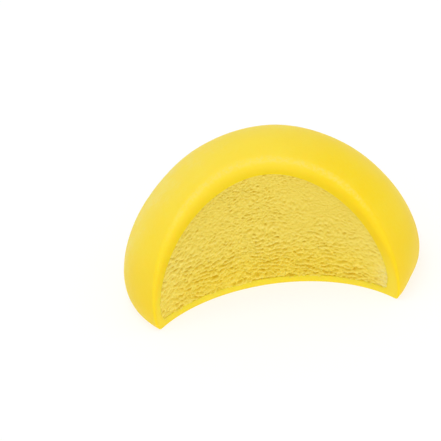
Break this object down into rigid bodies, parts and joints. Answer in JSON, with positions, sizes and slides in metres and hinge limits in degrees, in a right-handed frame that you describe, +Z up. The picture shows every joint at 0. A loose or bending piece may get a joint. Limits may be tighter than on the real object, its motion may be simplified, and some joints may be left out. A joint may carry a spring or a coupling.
{
  "type": "mochi rice cake half",
  "caption": "Half of a round dome-shaped mochi, its soft rice dough skin open at a hollow bitten face that shows the ice cream filling.",
  "frame": {"origin": "on the flat underside, at the axis of the round sweet before it was bitten", "axes": "+X along the bitten face to its right foot seen from the front, +Y from the bitten face to the round back, +Z up out of the flat underside"},
  "size_m": [0.0458, 0.0364, 0.0238],
  "materials": {
    "dough": "soft satin, lightly powdered",
    "filling": "rough, icy crumb"
  },
  "bodies": {
    "root": {"mochi_skin": "dough", "ice_cream_filling": "filling"}
  },
  "joints": []
}
